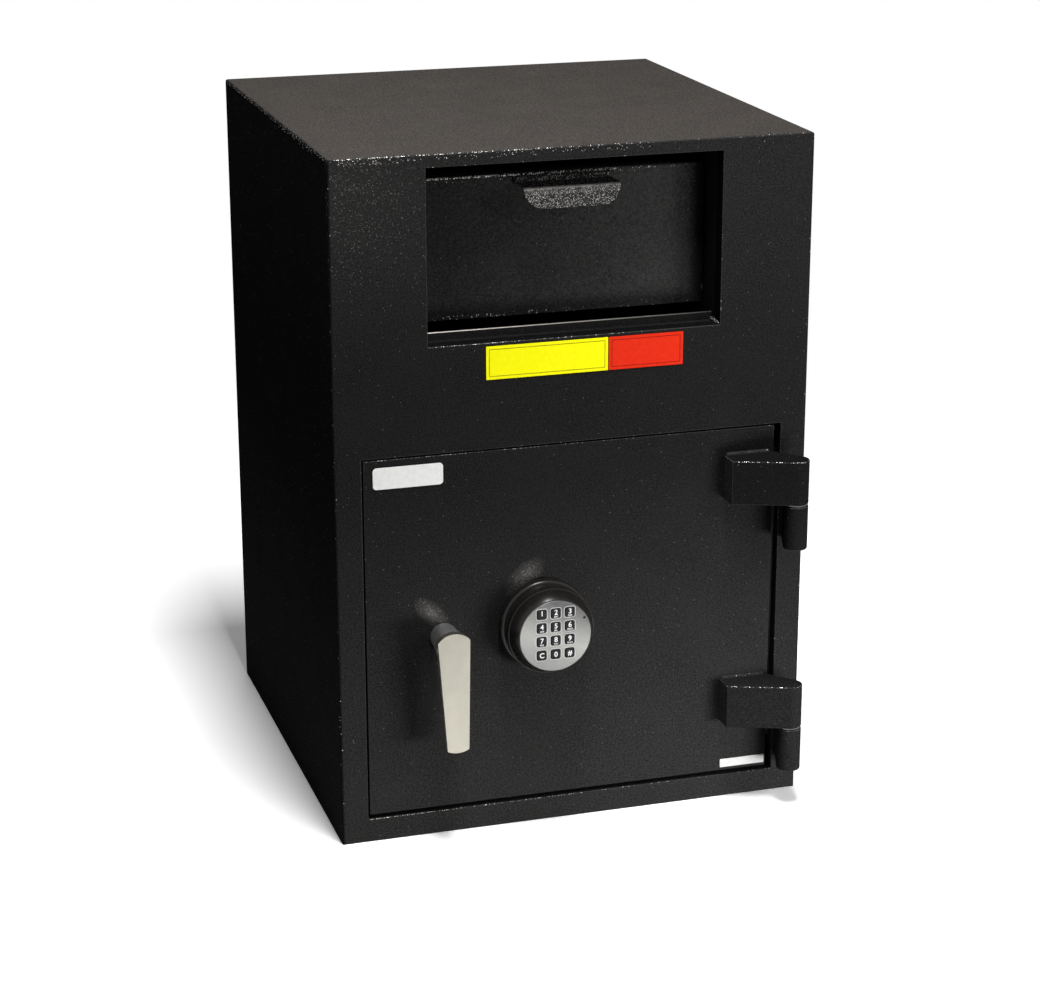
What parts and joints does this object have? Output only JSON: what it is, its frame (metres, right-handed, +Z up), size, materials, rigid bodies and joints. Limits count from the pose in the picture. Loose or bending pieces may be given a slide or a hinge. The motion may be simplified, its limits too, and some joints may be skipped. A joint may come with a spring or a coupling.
{
  "type": "drop safe",
  "caption": "Steel drop safe with a tilting deposit drawer above a hinged door with a lever handle, a round keypad lock and side bolts.",
  "frame": {"origin": "centre of the cabinet's footprint, on the floor", "axes": "+Z up, +Y to the rear (the door and hopper face -Y), +X to the right as seen from in front"},
  "size_m": [0.508, 0.5567, 0.724],
  "materials": {
    "paint": "hammertone powder coat",
    "bright": "polished",
    "steel": "zinc plated",
    "nickel": "satin nickel",
    "dark": "dark satin",
    "black": "satin moulded",
    "silver": "silver satin",
    "keycap": "matt moulded",
    "rubber": "moulded",
    "yellow": "vinyl film",
    "red": "vinyl film",
    "white": "printed film"
  },
  "bodies": {
    "cabinet": {"body_wrap": "paint", "floor_plate": "paint", "back_panel": "paint", "front_frame": "paint", "recess_frame": "paint", "hopper_cheek_left": "paint", "hopper_cheek_right": "paint", "hopper_baffle": "paint", "pivot_rod": "steel", "stop_bumper_left": "rubber", "stop_bumper_right": "rubber", "yellow_label": "yellow", "red_label": "red", "upper_hinge_knuckle": "paint", "upper_hinge_washer": "bright", "upper_hinge_pin": "steel", "lower_hinge_knuckle": "paint", "lower_hinge_washer": "bright", "lower_hinge_pin": "steel"},
    "door": {"door_plate": "paint", "dead_bar": "steel", "bolt_channel": "paint", "guide_stud": "steel", "lock_body": "steel", "back_cover": "paint", "cover_screw_1": "steel", "cover_screw_2": "steel", "cover_screw_3": "steel", "cover_screw_4": "steel", "keypad_base": "black", "keypad_housing": "black", "keypad_faceplate": "silver", "keymat": "rubber", "name_plate": "white", "serial_label": "white", "upper_hinge_strap": "paint", "lower_hinge_strap": "paint"},
    "handle": {"lever_handle": "nickel", "spindle": "dark", "bolt_cam": "steel"},
    "boltwork": {"bolt_bar": "steel", "lower_locking_bolt": "bright", "middle_locking_bolt": "bright", "upper_locking_bolt": "bright"},
    "lock_bolt": {"lock_bolt": "steel"},
    "hopper": {"hopper_front": "paint", "hopper_bucket": "paint", "hopper_pull": "paint"},
    "key_1": {"key_1": "keycap"},
    "key_2": {"key_2": "keycap"},
    "key_3": {"key_3": "keycap"},
    "key_4": {"key_4": "keycap"},
    "key_5": {"key_5": "keycap"},
    "key_6": {"key_6": "keycap"},
    "key_7": {"key_7": "keycap"},
    "key_8": {"key_8": "keycap"},
    "key_9": {"key_9": "keycap"},
    "key_clear": {"key_clear": "keycap"},
    "key_0": {"key_0": "keycap"},
    "key_hash": {"key_hash": "keycap"}
  },
  "joints": [
    {"name": "door_hinge", "type": "hinge", "parent": "cabinet", "child": "door", "pos_m": [0.2308, -0.29, 0.3654], "axis": [0, 0, 1], "range_deg": [0, 180]},
    {"name": "handle_turn", "type": "hinge", "parent": "door", "child": "handle", "pos_m": [-0.14265, -0.297, 0.22197], "axis": [0, 1, 0], "range_deg": [0, 90]},
    {"name": "bolt_slide", "type": "slide", "parent": "door", "child": "boltwork", "axis": [-1, 0, 0], "range_m": [0, 0.0254]},
    {"name": "lock_bolt_slide", "type": "slide", "parent": "door", "child": "lock_bolt", "axis": [0, 0, 1], "range_m": [0, 0.01]},
    {"name": "hopper_tilt", "type": "hinge", "parent": "cabinet", "child": "hopper", "pos_m": [0, -0.19, 0.55604], "axis": [1, 0, 0], "range_deg": [0, 45]},
    {"name": "key_1_press", "type": "slide", "parent": "door", "child": "key_1", "axis": [0, 1, 0], "range_m": [0, 0.001], "stiffness_N_per_m": 400},
    {"name": "key_2_press", "type": "slide", "parent": "door", "child": "key_2", "axis": [0, 1, 0], "range_m": [0, 0.001], "stiffness_N_per_m": 400},
    {"name": "key_3_press", "type": "slide", "parent": "door", "child": "key_3", "axis": [0, 1, 0], "range_m": [0, 0.001], "stiffness_N_per_m": 400},
    {"name": "key_4_press", "type": "slide", "parent": "door", "child": "key_4", "axis": [0, 1, 0], "range_m": [0, 0.001], "stiffness_N_per_m": 400},
    {"name": "key_5_press", "type": "slide", "parent": "door", "child": "key_5", "axis": [0, 1, 0], "range_m": [0, 0.001], "stiffness_N_per_m": 400},
    {"name": "key_6_press", "type": "slide", "parent": "door", "child": "key_6", "axis": [0, 1, 0], "range_m": [0, 0.001], "stiffness_N_per_m": 400},
    {"name": "key_7_press", "type": "slide", "parent": "door", "child": "key_7", "axis": [0, 1, 0], "range_m": [0, 0.001], "stiffness_N_per_m": 400},
    {"name": "key_8_press", "type": "slide", "parent": "door", "child": "key_8", "axis": [0, 1, 0], "range_m": [0, 0.001], "stiffness_N_per_m": 400},
    {"name": "key_9_press", "type": "slide", "parent": "door", "child": "key_9", "axis": [0, 1, 0], "range_m": [0, 0.001], "stiffness_N_per_m": 400},
    {"name": "key_clear_press", "type": "slide", "parent": "door", "child": "key_clear", "axis": [0, 1, 0], "range_m": [0, 0.001], "stiffness_N_per_m": 400},
    {"name": "key_0_press", "type": "slide", "parent": "door", "child": "key_0", "axis": [0, 1, 0], "range_m": [0, 0.001], "stiffness_N_per_m": 400},
    {"name": "key_hash_press", "type": "slide", "parent": "door", "child": "key_hash", "axis": [0, 1, 0], "range_m": [0, 0.001], "stiffness_N_per_m": 400}
  ],
  "couplings": [
    {"joint": "bolt_slide", "follows": "handle_turn", "m_per_rad": 0.01617}
  ]
}
